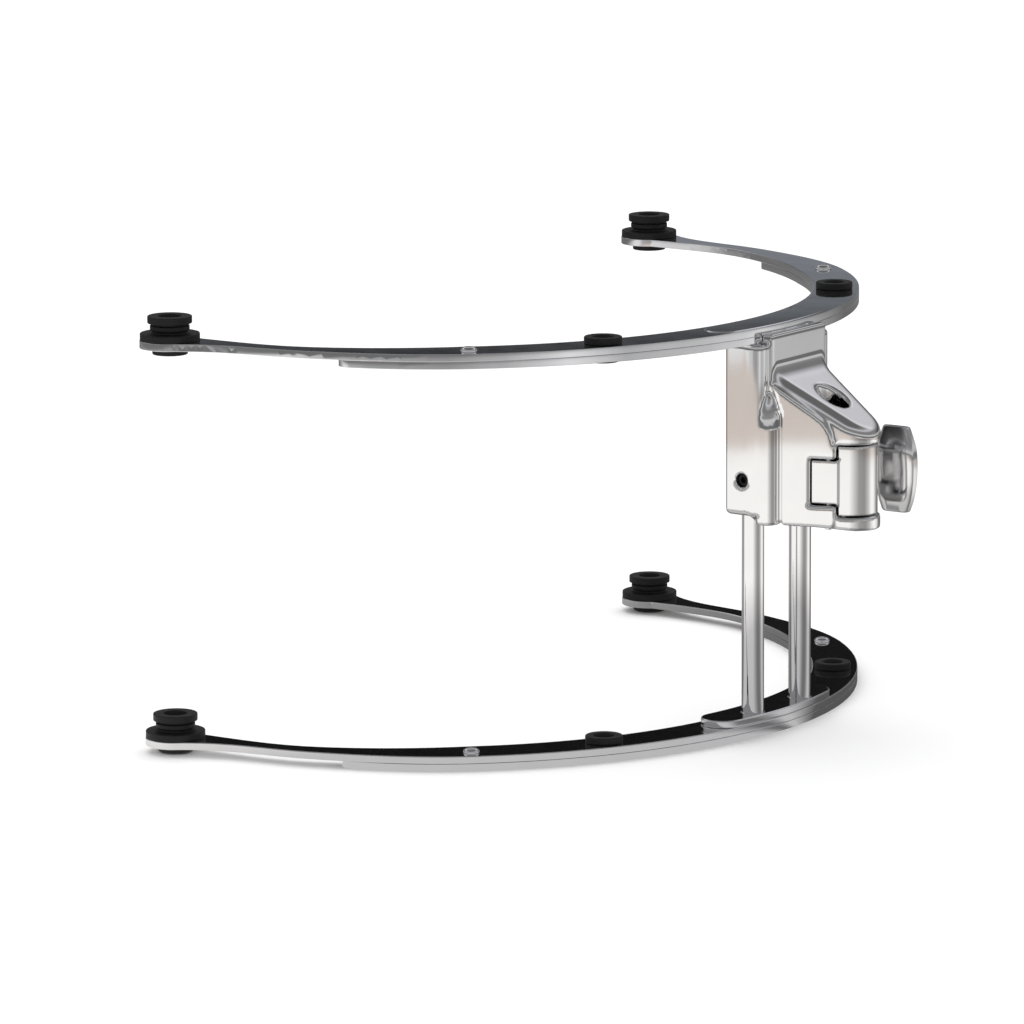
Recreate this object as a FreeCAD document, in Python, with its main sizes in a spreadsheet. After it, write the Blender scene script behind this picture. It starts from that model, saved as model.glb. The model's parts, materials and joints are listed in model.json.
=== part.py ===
import FreeCAD, Part
import os

import Sketcher

# A drum suspension cradle. Two horizontal C-shaped arcs hold a drum by its tension rods in rubber
# grommets. A cast receiver bracket carries the upper arc and clamps on a stand's arm, and two rods
# hang the lower arc from it. Millimetres, +Z up. Every sub-part is drawn about the drum's axis, with
# the bracket towards +X, and is then moved so that the origin is under the middle of the whole.

doc = FreeCAD.newDocument("DrumCradle")

SIZES = {
    # the arcs: radii about the drum's axis, angles from the bracket's direction
    "lug_radius": 170.0,
    "band_outer": 180.2,
    "band_inner": 161.5,
    "band_end_angle": 48.0,
    "stiffener_end_angle": 63.5,
    "layer": 3.0,
    "arc_spacing": 159.0,
    "eye_radius": 12.0,
    "middle_lug_angle": 30.0,
    # grommets
    "grommet_bore": 3.2,
    "grommet_mouth": 4.7,
    "eye_waist": 6.0,
    "eye_flange": 11.8,
    "eye_nub": 7.0,
    "eye_nub_length": 2.6,
    "flange_height": 2.8,
    "groove_radius": 7.1,
    "ring_radius": 7.8,
    "ring_low": 3.9,
    "ring_high": 5.9,
    "cap_radius": 8.8,
    "cap_low": 6.7,
    "cap_high": 9.6,
    "middle_waist": 5.2,
    "middle_flange": 7.5,
    "middle_mouth": 4.3,
    "middle_nub": 6.3,
    "middle_nub_room": 6.8,
    "upper_nub_length": 4.2,
    "lower_nub_length": 2.6,
    # screws
    "layer_screw_angle": 48.5,
    "layer_screw_radius": 172.5,
    "layer_screw_shank": 1.6,
    "layer_screw_head": 3.25,
    "layer_screw_rise": 1.7,
    "screw_shank": 2.5,
    "screw_head": 4.4,
    "screw_head_room": 4.7,
    "screw_head_height": 2.0,
    "bracket_screw_reach": 171.5,
    "bracket_screw_offset": 7.0,
    "bracket_screw_length": 15.0,
    "rod_screw_length": 14.0,
    # rods and the plates at their ends
    "rod_radius": 4.5,
    "rod_reach": 173.5,
    "rod_offset": 17.5,
    "rod_top": 131.0,
    "rod_room": 4.65,
    "rod_room_top": 156.5,
    "plate_inner": 163.0,
    "plate_angle": 10.8,
    "cap_plate_outer": 178.9,
    "cap_plate_inner": 164.4,
    "cap_plate_sink": 1.0,
    "cap_plate_rise": 0.3,
    # bracket: housing of the rods, its columns, neck, deck and nose
    "housing_back": 165.5,
    "housing_front": 177.6,
    "housing_half": 26.7,
    "housing_bottom": 90.0,
    "housing_round": 2.2,
    "column_radius": 4.2,
    "column_offset": 22.8,
    "column_sink": 1.1,
    "neck_front": 184.0,
    "neck_half": 20.0,
    "neck_top": 162.6,
    "neck_sweep": 9.0,
    "band_gap": 0.2,
    "deck_height": 137.3,
    "deck_slope": 31.0,
    "deck_round": 4.5,
    "receiver_reach": 199.5,
    "receiver_radius": 6.5,
    "nose_reach": 208.0,
    "nose_radius": 12.0,
    "nose_bottom": 84.8,
    "cheek_angle": 17.3,
    "shoulder_reach": 184.0,
    "shoulder_top": 133.0,
    "shoulder_inset": 2.4,
    "shoulder_wall": 0.9,
    "foot_drop": 1.4,
    "shoulder_round": 3.0,
    # gate, its window in the casting, hinge pin and clamping ear
    "window_low": 90.7,
    "window_high": 119.6,
    "window_back": 202.2,
    "window_side": 9.0,
    "tab_back": 198.8,
    "tab_side": 7.6,
    "lug_end": 208.6,
    "gate_gap": 0.6,
    "gate_radius": 11.0,
    "tab_half": 9.2,
    "pin_radius": 1.25,
    "pin_reach": 204.3,
    "pin_offset": 10.2,
    "pin_fit": 0.05,
    "pin_recess": 0.4,
    "pin_rise": 3.0,
    "ear_back": 192.0,
    "ear_front": 197.0,
    "ear_root_front": 205.0,
    "ear_root_side": 13.2,
    "ear_radius": 6.0,
    "ear_slot_half": 3.4,
    "ear_slot_length": 9.4,
    # wing bolt, its washer and nut
    "clamp_height": 104.6,
    "clamp_offset": 29.0,
    "bolt_radius": 3.0,
    "bolt_room": 3.3,
    "bolt_fit": 0.05,
    "bolt_tail": 179.5,
    "washer_radius": 5.0,
    "washer_thickness": 1.1,
    "hub_radius": 3.6,
    "hub_length": 5.0,
    "paddle_inner": 202.7,
    "paddle_outer": 220.7,
    "paddle_half": 17.35,
    "paddle_flat": 11.0,
    "paddle_thickness": 7.0,
    "boss_radius": 7.6,
    "boss_end": 190.0,
    "nut_back": 181.0,
    "nut_thickness": 5.0,
    "nut_half": 5.0,
    # set screws that lock the rods
    "set_screw_reach": 173.8,
    "set_screw_height": 104.3,
    "set_screw_radius": 2.45,
    "set_screw_room": 2.5,
    "set_screw_length": 3.0,
    "set_screw_sink": 1.6,
    "set_screw_socket": 1.3,
}

# Radii of the slim arm's two edges, outwards of the drum's axis, at angles from the bracket.
ARM_OUTER = ((57.0, 178.6), (65.0, 175.9), (73.0, 173.7), (80.0, 172.2))
ARM_INNER = ((57.0, 163.0), (65.0, 164.2), (73.0, 164.6), (80.0, 162.6))
EYE_JOIN_OUTER = 62.0
EYE_JOIN_INNER = -52.0
UP = FreeCAD.Vector(0, 0, 1)


def fill_sheet():
    """Write the driving dimensions, one alias to a row."""
    sheet = doc.addObject("Spreadsheet::Sheet", "Sizes")
    for row, (name, number) in enumerate(SIZES.items(), 1):
        sheet.set(f"A{row}", name)
        sheet.set(f"B{row}", str(number))
        sheet.setAlias(f"B{row}", name)
    doc.recompute()
    return sheet


sizes = fill_sheet()


def value(text):
    """The number that an expression on the sheet gives."""
    return float(sizes.evalExpression(text))


def size(name):
    """One driving dimension."""
    return value(f"Sizes.{name}")


def polar(radius, degrees):
    """A point in the plan, at an angle from the bracket's direction."""
    turn = FreeCAD.Rotation(UP, degrees)
    return turn.multVec(FreeCAD.Vector(radius, 0, 0))


def bind(item, **expressions):
    """Tie properties to the sheet; a double underscore stands for a dot."""
    for name, text in expressions.items():
        item.setExpression(name.replace("__", "."), text)


def place(item, x="0", y="0", z="0"):
    """Tie an object's place to the sheet."""
    bind(item, Placement__Base__x=x, Placement__Base__y=y, Placement__Base__z=z)
    return item


# ---- PartDesign helpers ----


def new_body(name):
    body = doc.addObject("PartDesign::Body", name)
    body.Label = name
    return body


def new_sketch(body, name, role, height="0"):
    """A sketch on one of the body's own origin planes, raised along its normal."""
    sketch = body.newObject("Sketcher::SketchObject", name)
    plane = next(item for item in body.Origin.OriginFeatures if item.Role == role)
    sketch.AttachmentSupport = [(plane, "")]
    sketch.MapMode = "FlatFace"
    bind(sketch, AttachmentOffset__Base__z=height)
    return sketch


def constrain(sketch, kind, text, *where):
    """A dimension of the sketch, tied to the sheet."""
    index = sketch.addConstraint(Sketcher.Constraint(kind, *where, value(text)))
    sketch.setExpression(f"Constraints[{index}]", text)


def outline(sketch, points):
    """A closed run of straight edges through points given as pairs of expressions."""
    spots = [FreeCAD.Vector(value(across), value(along), 0) for across, along in points]
    for start, end in zip(spots, spots[1:] + spots[:1]):
        sketch.addGeometry(Part.LineSegment(start, end), False)
    for edge in range(len(spots)):
        joint = Sketcher.Constraint("Coincident", edge, 2, (edge + 1) % len(spots), 1)
        sketch.addConstraint(joint)
    for edge, (across, along) in enumerate(points):
        constrain(sketch, "DistanceX", across, -1, 1, edge, 1)
        constrain(sketch, "DistanceY", along, -1, 1, edge, 1)


def ring(sketch, x, y, radius):
    """A circle whose centre and radius are expressions."""
    centre = FreeCAD.Vector(value(x), value(y), 0)
    circle = sketch.addGeometry(Part.Circle(centre, UP, value(radius)), False)
    constrain(sketch, "DistanceX", x, -1, 1, circle, 3)
    constrain(sketch, "DistanceY", y, -1, 1, circle, 3)
    constrain(sketch, "Radius", radius, circle)


def pad(body, sketch, length, both_ways=False):
    feature = body.newObject("PartDesign::Pad", f"{body.Name}_pad")
    feature.Profile = sketch
    feature.Midplane = both_ways
    bind(feature, Length=length)
    sketch.Visibility = False
    return feature


def pocket(body, sketch, depth=None):
    """Cut upwards from the sketch's plane, right through unless a depth is given."""
    doc.recompute()
    before = body.Shape.Volume
    feature = body.newObject("PartDesign::Pocket", f"{sketch.Name}_pocket")
    feature.Profile = sketch
    feature.Reversed = True
    if depth is None:
        feature.Type = 1
    else:
        bind(feature, Length=depth)
    doc.recompute()
    if body.Shape.Volume >= before:
        raise SystemExit(f"{feature.Name} cuts nothing")
    return feature


def turned(name, points, axis="V_Axis"):
    """A turned piece: a profile in the XZ plane, spun about one of the sketch's axes."""
    body = new_body(name)
    sketch = new_sketch(body, f"{name}_profile", "XZ_Plane")
    outline(sketch, points)
    spin = body.newObject("PartDesign::Revolution", f"{name}_turn")
    spin.Profile = sketch
    spin.ReferenceAxis = (sketch, [axis])
    spin.Angle = 360.0
    return body


def slab(name, role, points, height, length, both_ways=False):
    """A straight-sided block cut from plate."""
    body = new_body(name)
    sketch = new_sketch(body, f"{name}_outline", role, height)
    outline(sketch, points)
    pad(body, sketch, length, both_ways)
    return body


# ---- Part helpers ----


def cylinder(name, radius, length, x="0", y="0", z="0"):
    solid = doc.addObject("Part::Cylinder", name)
    bind(solid, Radius=radius, Height=length)
    return place(solid, x, y, z)


def crosswise(item):
    """Lay an upright piece down along +Y."""
    item.Placement.Rotation = FreeCAD.Rotation(FreeCAD.Vector(1, 0, 0), -90)
    return item


def box(name, x, y, z):
    """A box from low and high expressions on each axis."""
    solid = doc.addObject("Part::Box", name)
    length, width, height = (f"({high}) - ({low})" for low, high in (x, y, z))
    bind(solid, Length=length, Width=width, Height=height)
    return place(solid, x[0], y[0], z[0])


def joined(name, *items):
    union = doc.addObject("Part::MultiFuse", name)
    union.Shapes = list(items)
    union.Refine = True
    return union


def shared(name, first, second):
    common = doc.addObject("Part::Common", name)
    common.Base = first
    common.Tool = second
    return common


def cut(name, base, *tools):
    result = doc.addObject("Part::Cut", name)
    result.Base = base
    result.Tool = tools[0] if len(tools) == 1 else joined(f"{name}_tools", *tools)
    return result


def group(name, *items):
    """Identical loose fasteners kept as one sub-part of separate solids."""
    bundle = doc.addObject("Part::Compound", name)
    bundle.Links = list(items)
    return bundle


def rounded(name, base, radius, wanted):
    """Round the base's edges that a test picks."""
    doc.recompute()
    edges = [number for number, edge in enumerate(base.Shape.Edges, 1) if wanted(edge)]
    if not edges:
        raise SystemExit(f"{name} finds no edge to round")
    fillet = doc.addObject("Part::Fillet", name)
    fillet.Base = base
    fillet.Edges = [(number, size(radius), size(radius)) for number in edges]
    return fillet


def is_upright(edge):
    box_of_edge = edge.BoundBox
    return box_of_edge.ZLength > 1 and box_of_edge.XLength < 0.1 and box_of_edge.YLength < 0.1


# ---- places that several sub-parts share ----

UPPER_FLOOR = "Sizes.arc_spacing"
UPPER_SEAM = "(Sizes.arc_spacing + Sizes.layer)"
UPPER_FACE = "(Sizes.arc_spacing + 2 * Sizes.layer)"
LOWER_SEAM = "Sizes.layer"
LOWER_FACE = "(2 * Sizes.layer)"
SIDES = {"left": "-1", "right": "1"}
EYE_SPOTS = {side: ("0", f"{sign} * Sizes.lug_radius") for side, sign in SIDES.items()}
MIDDLE_SPOTS = {
    side: (
        "Sizes.lug_radius * cos(Sizes.middle_lug_angle)",
        f"{sign} * Sizes.lug_radius * sin(Sizes.middle_lug_angle)",
    )
    for side, sign in SIDES.items()
}
LAYER_SCREW_SPOTS = {
    side: (
        "Sizes.layer_screw_radius * cos(Sizes.layer_screw_angle)",
        f"{sign} * Sizes.layer_screw_radius * sin(Sizes.layer_screw_angle)",
    )
    for side, sign in SIDES.items()
}
ROD_SPOTS = {side: ("Sizes.rod_reach", f"{sign} * Sizes.rod_offset") for side, sign in SIDES.items()}
BRACKET_SCREW_SPOTS = {
    side: ("Sizes.bracket_screw_reach", f"{sign} * Sizes.bracket_screw_offset")
    for side, sign in SIDES.items()
}


# ---- the arcs ----


def smooth_edge(points):
    curve = Part.BSplineCurve()
    curve.interpolate(Points=points)
    return curve


def eye_point(side, degrees, radius):
    """A point on an eye's rim; 0 degrees faces back along the arm, positive is away from the drum."""
    across = FreeCAD.Rotation(UP, side * degrees).multVec(FreeCAD.Vector(radius, 0, 0))
    return FreeCAD.Vector(0, side * size("lug_radius"), 0) + across


def add_chain(sketch, curves):
    """Add curves whose ends meet and close a loop."""
    for curve in curves:
        sketch.addGeometry(curve, False)


def band_outline(sketch):
    """Wide arc, slim tapering arms, and an eye for a grommet at each end."""
    end = size("band_end_angle")
    outer = size("band_outer")
    inner = size("band_inner")
    eye = size("eye_radius")
    curves = [Part.Arc(polar(outer, -end), polar(outer, 0), polar(outer, end))]
    for side in (1, -1):
        join_outer = eye_point(side, EYE_JOIN_OUTER, eye)
        join_inner = eye_point(side, EYE_JOIN_INNER, eye)
        outer_edge = [polar(outer, side * end)]
        outer_edge += [polar(radius, side * angle) for angle, radius in ARM_OUTER]
        inner_edge = [polar(inner, side * end)]
        inner_edge += [polar(radius, side * angle) for angle, radius in ARM_INNER]
        curves.append(smooth_edge(outer_edge + [join_outer]))
        curves.append(Part.Arc(join_outer, eye_point(side, 180, eye), join_inner))
        curves.append(smooth_edge(inner_edge + [join_inner]))
    curves.append(Part.Arc(polar(inner, -end), polar(inner, 0), polar(inner, end)))
    add_chain(sketch, curves)


def stiffener_outline(sketch):
    """The band's wide part again, with each end a full round."""
    end = size("band_end_angle")
    tip = size("stiffener_end_angle")
    outer = size("band_outer")
    inner = size("band_inner")
    (mid_angle, mid_outer), (_, tip_outer) = ARM_OUTER[:2]
    (_, mid_inner), (_, tip_inner) = ARM_INNER[:2]
    middle = (tip_outer + tip_inner) / 2
    reach = FreeCAD.Units.Quantity(f"{(tip_outer - tip_inner) / 2 / middle} rad").getValueAs("deg").Value
    curves = [Part.Arc(polar(outer, -end), polar(outer, 0), polar(outer, end))]
    for side in (1, -1):
        outer_tip = polar(tip_outer, side * tip)
        inner_tip = polar(tip_inner, side * tip)
        curves.append(smooth_edge([polar(outer, side * end), polar(mid_outer, side * mid_angle), outer_tip]))
        curves.append(Part.Arc(outer_tip, polar(middle, side * (tip + reach)), inner_tip))
        curves.append(smooth_edge([polar(inner, side * end), polar(mid_inner, side * mid_angle), inner_tip]))
    curves.append(Part.Arc(polar(inner, -end), polar(inner, 0), polar(inner, end)))
    add_chain(sketch, curves)


def plate_outline(sketch, outer, inner):
    """A curved oval plate with full-round ends."""
    end = size("plate_angle")
    middle = (outer + inner) / 2
    reach = FreeCAD.Units.Quantity(f"{(outer - inner) / 2 / middle} rad").getValueAs("deg").Value
    curves = [Part.Arc(polar(outer, -end), polar(outer, 0), polar(outer, end))]
    for side in (1, -1):
        tip = polar(middle, side * (end + reach))
        curves.append(Part.Arc(polar(outer, side * end), tip, polar(inner, side * end)))
    curves.append(Part.Arc(polar(inner, -end), polar(inner, 0), polar(inner, end)))
    add_chain(sketch, curves)


def holes(body, height, *sets):
    """Drill one radius at each spot of each (spots, radius) set."""
    sketch = new_sketch(body, f"{body.Name}_holes", "XY_Plane", height)
    for spots, radius in sets:
        for x, y in spots.values():
            ring(sketch, x, y, radius)
    pocket(body, sketch)


def arc_band(name, seam, *fixings):
    body = new_body(name)
    sketch = new_sketch(body, f"{name}_outline", "XY_Plane", seam)
    band_outline(sketch)
    pad(body, sketch, "Sizes.layer")
    holes(
        body,
        seam,
        (EYE_SPOTS, "Sizes.eye_waist"),
        (MIDDLE_SPOTS, "Sizes.middle_waist"),
        (LAYER_SCREW_SPOTS, "Sizes.layer_screw_shank"),
        *fixings,
    )
    return body


def arc_stiffener(name, floor, *fixings):
    body = new_body(name)
    sketch = new_sketch(body, f"{name}_outline", "XY_Plane", floor)
    stiffener_outline(sketch)
    pad(body, sketch, "Sizes.layer")
    holes(
        body,
        floor,
        (MIDDLE_SPOTS, "Sizes.middle_nub_room"),
        (LAYER_SCREW_SPOTS, "Sizes.layer_screw_shank"),
        *fixings,
    )
    return body


def sink_cap_plate(band):
    """The shallow seat for the cap plate, in the top of the upper band."""
    sketch = new_sketch(band, "cap_seat", "XY_Plane", f"{UPPER_FACE} - Sizes.cap_plate_sink")
    plate_outline(sketch, size("cap_plate_outer"), size("cap_plate_inner"))
    pocket(band, sketch)


def cap_plate():
    """Oval plate that covers the bracket's screws."""
    body = new_body("upper_cap_plate")
    sketch = new_sketch(body, "upper_cap_plate_outline", "XY_Plane", f"{UPPER_FACE} - Sizes.cap_plate_sink")
    plate_outline(sketch, size("cap_plate_outer"), size("cap_plate_inner"))
    pad(body, sketch, "Sizes.cap_plate_sink + Sizes.cap_plate_rise")
    return body


def foot_plate():
    """Oval plate on the lower band that holds the feet of both rods."""
    body = new_body("foot_plate")
    sketch = new_sketch(body, "foot_plate_outline", "XY_Plane", LOWER_FACE)
    plate_outline(sketch, size("band_outer"), size("plate_inner"))
    pad(body, sketch, "Sizes.layer")
    holes(body, LOWER_FACE, (ROD_SPOTS, "Sizes.rod_radius"))
    return body


# ---- grommets ----


def end_grommet(name, spot, face):
    """Tall grommet in an eye: flange on the band, ribbed neck, and a nub under the band."""
    bottom = "-Sizes.layer - Sizes.eye_nub_length"
    points = [
        ("Sizes.grommet_bore", bottom),
        ("Sizes.eye_nub", bottom),
        ("Sizes.eye_nub", "-Sizes.layer"),
        ("Sizes.eye_waist", "-Sizes.layer"),
        ("Sizes.eye_waist", "0"),
        ("Sizes.eye_flange", "0"),
        ("Sizes.eye_flange", "Sizes.flange_height"),
        ("Sizes.groove_radius", "Sizes.flange_height"),
        ("Sizes.groove_radius", "Sizes.ring_low"),
        ("Sizes.ring_radius", "Sizes.ring_low"),
        ("Sizes.ring_radius", "Sizes.ring_high"),
        ("Sizes.groove_radius", "Sizes.ring_high"),
        ("Sizes.groove_radius", "Sizes.cap_low"),
        ("Sizes.cap_radius", "Sizes.cap_low"),
        ("Sizes.cap_radius", "Sizes.cap_high"),
        ("Sizes.grommet_mouth", "Sizes.cap_high"),
        ("Sizes.grommet_bore", "Sizes.ring_low"),
    ]
    return place(turned(name, points), *spot, face)


def middle_grommet(name, spot, face, nub_length):
    """Low grommet through both layers of an arc: it grips the band, and the stiffener clears it."""
    bottom = f"-Sizes.layer - {nub_length}"
    points = [
        ("Sizes.grommet_bore", bottom),
        ("Sizes.middle_nub", bottom),
        ("Sizes.middle_nub", "-Sizes.layer"),
        ("Sizes.middle_waist", "-Sizes.layer"),
        ("Sizes.middle_waist", "0"),
        ("Sizes.middle_flange", "0"),
        ("Sizes.middle_flange", "Sizes.flange_height"),
        ("Sizes.middle_mouth", "Sizes.flange_height"),
        ("Sizes.grommet_bore", "0"),
    ]
    return place(turned(name, points), *spot, face)


# ---- fasteners ----


def layer_screws(name, face):
    """Two button-head screws that hold a band to its stiffener."""
    points = [
        ("0", "-2 * Sizes.layer"),
        ("Sizes.layer_screw_shank", "-2 * Sizes.layer"),
        ("Sizes.layer_screw_shank", "0"),
        ("Sizes.layer_screw_head", "0"),
        ("Sizes.layer_screw_head", "Sizes.layer_screw_rise / 2"),
        ("Sizes.layer_screw_shank", "Sizes.layer_screw_rise"),
        ("0", "Sizes.layer_screw_rise"),
    ]
    screws = []
    for side, spot in LAYER_SCREW_SPOTS.items():
        screws.append(place(turned(f"{name}_{side}", points), *spot, face))
    return group(name, *screws)


def head_screws(name, spots, seat, length, upwards):
    """Two cheese-head screws, heads on the seat, shanks up or down from it."""
    shank_end = length if upwards else f"-{length}"
    head_end = "-Sizes.screw_head_height" if upwards else "Sizes.screw_head_height"
    points = [
        ("0", shank_end),
        ("Sizes.screw_shank", shank_end),
        ("Sizes.screw_shank", "0"),
        ("Sizes.screw_head", "0"),
        ("Sizes.screw_head", head_end),
        ("0", head_end),
    ]
    screws = []
    for side, spot in spots.items():
        screws.append(place(turned(f"{name}_{side}", points), *spot, seat))
    return group(name, *screws)


def set_screw(side):
    """Headless socket screw across the housing, its tip on a rod."""
    outwards = SIDES[side]
    tip = f"{outwards} * (Sizes.rod_offset + Sizes.rod_radius)"
    mouth = f"{outwards} * (Sizes.rod_offset + Sizes.rod_radius + Sizes.set_screw_length)"
    low, socket_low = (tip, f"{mouth} - Sizes.set_screw_sink") if side == "right" else (mouth, mouth)
    plug = cylinder(
        f"set_plug_{side}",
        "Sizes.set_screw_radius",
        "Sizes.set_screw_length",
        "Sizes.set_screw_reach",
        low,
        "Sizes.set_screw_height",
    )
    socket = doc.addObject("Part::Prism", f"set_socket_{side}")
    socket.Polygon = 6
    bind(socket, Circumradius="Sizes.set_screw_socket", Height="Sizes.set_screw_sink")
    place(socket, "Sizes.set_screw_reach", socket_low, "Sizes.set_screw_height")
    return cut(f"set_screw_{side}", crosswise(plug), crosswise(socket))


# ---- rods ----


def rod(side):
    """Chromed steel rod, tapped at its foot."""
    x, y = ROD_SPOTS[side]
    bar = cylinder(f"bar_{side}", "Sizes.rod_radius", f"Sizes.rod_top - {LOWER_FACE}", x, y, LOWER_FACE)
    tapped = cylinder(
        f"bar_thread_{side}", "Sizes.screw_shank", f"Sizes.rod_screw_length - {LOWER_SEAM}", x, y, LOWER_FACE
    )
    return cut(f"rod_{side}", bar, tapped)


# ---- the receiver bracket ----


def plan_of_nose():
    """Plan of the deck: straight neck, tapering cheeks and a round nose."""
    tangent_x = "Sizes.nose_reach + Sizes.nose_radius * sin(Sizes.cheek_angle)"
    tangent_y = "Sizes.nose_radius * cos(Sizes.cheek_angle)"
    shoulder_y = f"{tangent_y} + ({tangent_x} - Sizes.shoulder_reach) * tan(Sizes.cheek_angle)"
    back = "Sizes.housing_front - Sizes.layer"
    points = [
        (back, f"-({shoulder_y})"),
        ("Sizes.shoulder_reach", f"-({shoulder_y})"),
        (tangent_x, f"-({tangent_y})"),
        (tangent_x, tangent_y),
        ("Sizes.shoulder_reach", shoulder_y),
        (back, shoulder_y),
    ]
    cheeks = slab("cheek_plan", "XY_Plane", points, "0", "Sizes.neck_top + 1")
    nose = cylinder("nose_plan", "Sizes.nose_radius", "Sizes.neck_top + 1", "Sizes.nose_reach")
    return joined("deck_plan", cheeks, nose)


def deck_and_neck(plan):
    """The neck's front sweeps into a sloping deck; the plan trims both."""
    drop = "* tan(Sizes.deck_slope)"
    far = "(Sizes.nose_reach + Sizes.nose_radius + 1)"
    back = "Sizes.housing_front - Sizes.layer"
    points = [
        (back, "Sizes.housing_bottom - 1"),
        (back, "Sizes.neck_top"),
        ("Sizes.neck_front", "Sizes.neck_top"),
        ("Sizes.neck_front", f"Sizes.deck_height + (Sizes.receiver_reach - Sizes.neck_front) {drop}"),
        (far, f"Sizes.deck_height + (Sizes.receiver_reach - {far}) {drop}"),
        (far, "Sizes.nose_bottom"),
        ("Sizes.shoulder_reach", "Sizes.nose_bottom + Sizes.layer"),
    ]
    side_view = slab("neck_side", "XZ_Plane", points, "0", "3 * Sizes.neck_half", both_ways=True)

    def sweep_edge(edge):
        middle = edge.BoundBox.Center
        across_neck = abs(middle.x - size("neck_front")) < 0.1 and abs(middle.y) < 1
        return across_neck and middle.z < size("neck_top") - 1

    swept = rounded("neck_swept", side_view, "neck_sweep", sweep_edge)
    return shared("deck_block", plan, swept)


def housing():
    """Block that holds both rods, rounded at its foot and corners."""
    block = box(
        "housing_block",
        ("Sizes.housing_back", "Sizes.housing_front"),
        ("-Sizes.housing_half", "Sizes.housing_half"),
        ("Sizes.housing_bottom", UPPER_FLOOR),
    )

    def outer_edges(edge):
        middle = edge.BoundBox.Center
        at_foot = middle.z < size("housing_bottom") + 0.1 and middle.x < size("housing_front") - 0.1
        back_corner = is_upright(edge) and middle.x < size("housing_back") + 0.1
        return at_foot or back_corner

    return rounded("housing_rounded", block, "housing_round", outer_edges)


def columns():
    """Half-round columns down the front of the housing, one over each rod."""

    def foot_edge(edge):
        return edge.BoundBox.ZMax < size("housing_bottom") + 1

    pieces = []
    for side, sign in SIDES.items():
        shaft = cylinder(
            f"column_shaft_{side}",
            "Sizes.column_radius",
            f"{UPPER_FLOOR} - Sizes.housing_bottom",
            "Sizes.housing_front - Sizes.column_sink",
            f"{sign} * Sizes.column_offset",
            "Sizes.housing_bottom",
        )
        pieces.append(rounded(f"column_{side}", shaft, "housing_round", foot_edge))
    return pieces


def shoulders():
    """Webs that fill the valley between each column and its cheek, below the neck."""
    front = "Sizes.shoulder_reach + Sizes.shoulder_inset"
    pieces = []
    for side, sign in SIDES.items():
        points = [
            ("Sizes.housing_front - 1", f"{sign} * Sizes.nose_radius"),
            ("Sizes.housing_front - 1", f"{sign} * (Sizes.housing_half - Sizes.shoulder_inset)"),
            (front, f"{sign} * (Sizes.neck_half - Sizes.shoulder_wall)"),
            (front, f"{sign} * Sizes.nose_radius"),
        ]
        floor = "Sizes.housing_bottom - Sizes.foot_drop"
        web = slab(f"web_{side}", "XY_Plane", points, floor, f"Sizes.shoulder_top - ({floor})")

        def top_slant(edge):
            reach = edge.BoundBox
            return reach.ZMin > size("shoulder_top") - 1 and reach.XLength > 1 and reach.YLength > 1

        pieces.append(rounded(f"shoulder_{side}", web, "shoulder_round", top_slant))
    return pieces


def window(name, gap):
    """The room that the gate fills in the casting, or with a gap the gate's own envelope."""
    low = f"Sizes.window_low + {gap}"
    high = f"Sizes.window_high - {gap}"
    back = f"Sizes.window_back + {gap}"
    tab_low = f"Sizes.clamp_height - Sizes.tab_half + {gap}"
    tab_high = f"Sizes.clamp_height + Sizes.tab_half - {gap}"
    far = "Sizes.nose_reach + 2 * Sizes.nose_radius"
    wide = "2 * Sizes.nose_radius"
    front = box(f"{name}_front", (f"Sizes.lug_end + {gap}", far), (f"-{wide}", wide), (low, high))
    middle = box(f"{name}_middle", (back, far), (f"-Sizes.window_side + {gap}", wide), (low, high))
    tab_reach = (f"Sizes.tab_back + {gap}", far)
    tab = box(f"{name}_tab", tab_reach, (f"-{wide}", f"-Sizes.tab_side - {gap}"), (tab_low, tab_high))
    return joined(name, front, middle, tab)


def clamp_line(name, radius, start, end):
    """A round along the wing bolt's axis."""
    solid = cylinder(name, radius, f"({end}) - ({start})", start, "Sizes.clamp_offset", "Sizes.clamp_height")
    solid.Placement.Rotation = FreeCAD.Rotation(FreeCAD.Vector(0, 1, 0), 90)
    return solid


def nut_seat(name, grow, open_end):
    """The square nut, or the slot in the boss that it slides into from outside."""
    outer = open_end or f"Sizes.clamp_offset + Sizes.nut_half + {grow}"
    return box(
        name,
        (f"Sizes.nut_back - {grow}", f"Sizes.nut_back + Sizes.nut_thickness + {grow}"),
        (f"Sizes.clamp_offset - Sizes.nut_half - {grow}", outer),
        (f"Sizes.clamp_height - Sizes.nut_half - {grow}", f"Sizes.clamp_height + Sizes.nut_half + {grow}"),
    )


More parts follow.
